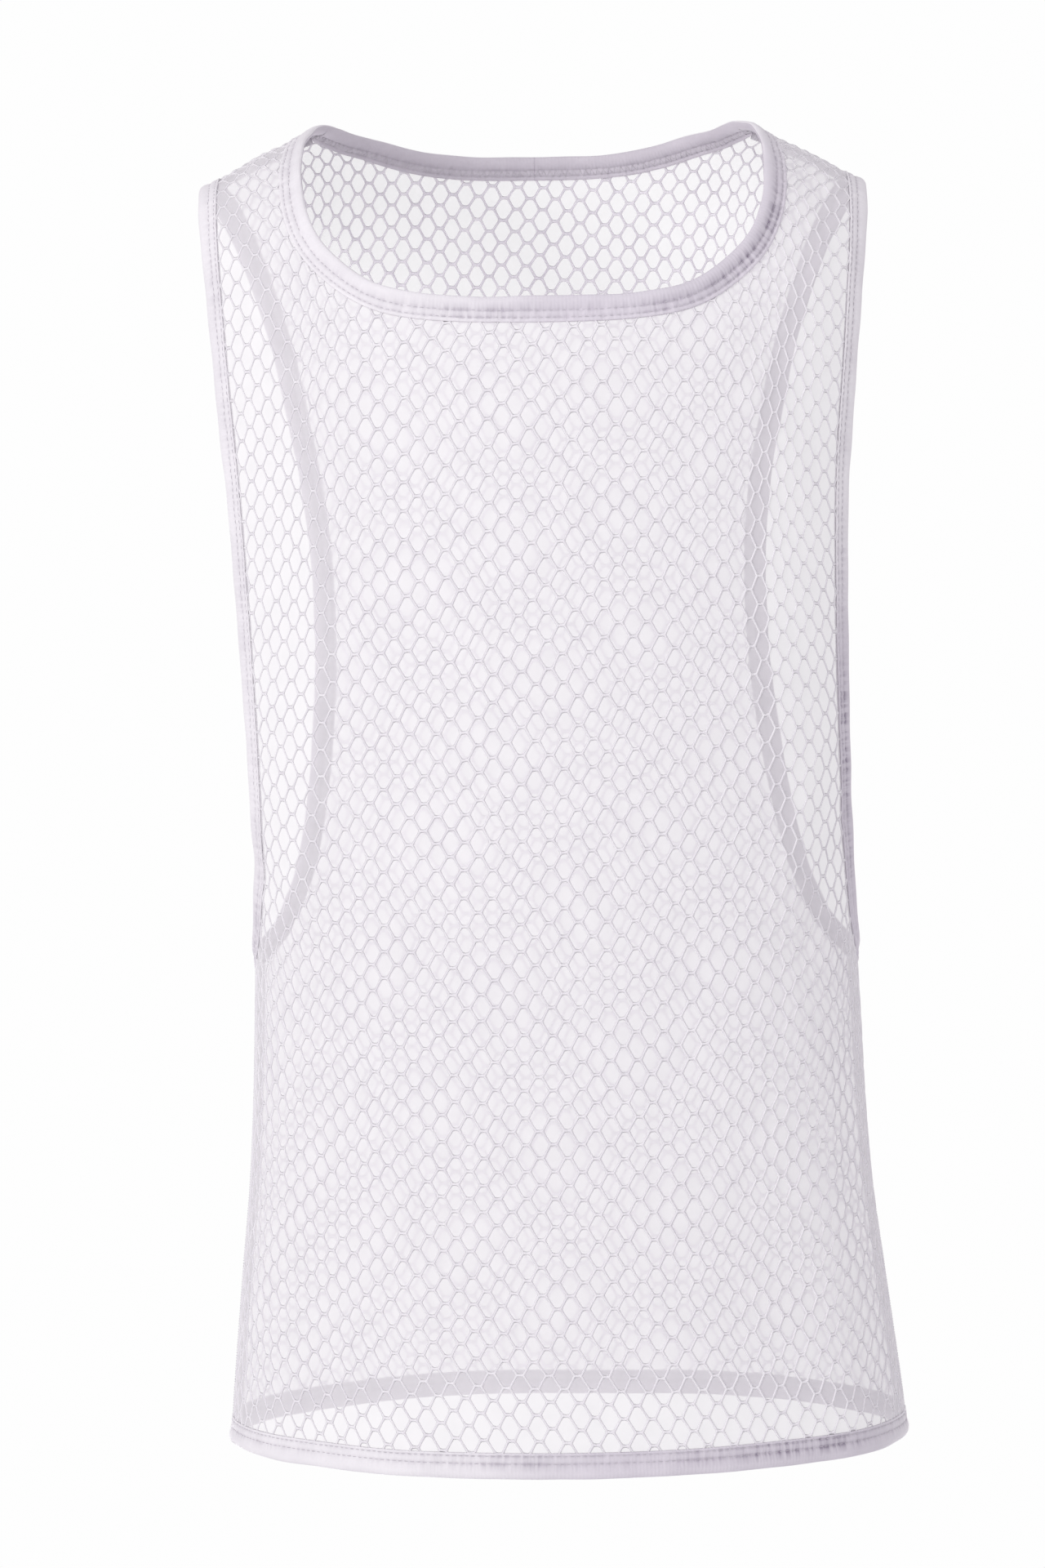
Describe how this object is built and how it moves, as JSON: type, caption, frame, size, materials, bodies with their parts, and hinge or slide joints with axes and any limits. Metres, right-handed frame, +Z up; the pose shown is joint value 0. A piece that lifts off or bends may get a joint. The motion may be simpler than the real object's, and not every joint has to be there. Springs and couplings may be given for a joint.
{
  "type": "mesh tank top",
  "caption": "Sleeveless white net training top, filled out as if worn, with a wide scooped neck, deep armholes and jersey-bound edges.",
  "frame": {"origin": "midway between the places where the undersides of the two straps rest on the wearer's shoulders", "axes": "+Z up along the wearer's spine, -Y to the front (chest), +X to the wearer's left"},
  "size_m": [0.3657, 0.237, 0.6909],
  "materials": {
    "net": "soft white warp-knitted net, slight sheen",
    "jersey": "smooth white jersey, matte"
  },
  "bodies": {
    "root": {"front_panel": "net", "back_panel": "net", "neck_binding": "jersey", "armhole_binding_left": "jersey", "armhole_binding_right": "jersey", "hem_binding": "jersey"}
  },
  "joints": []
}
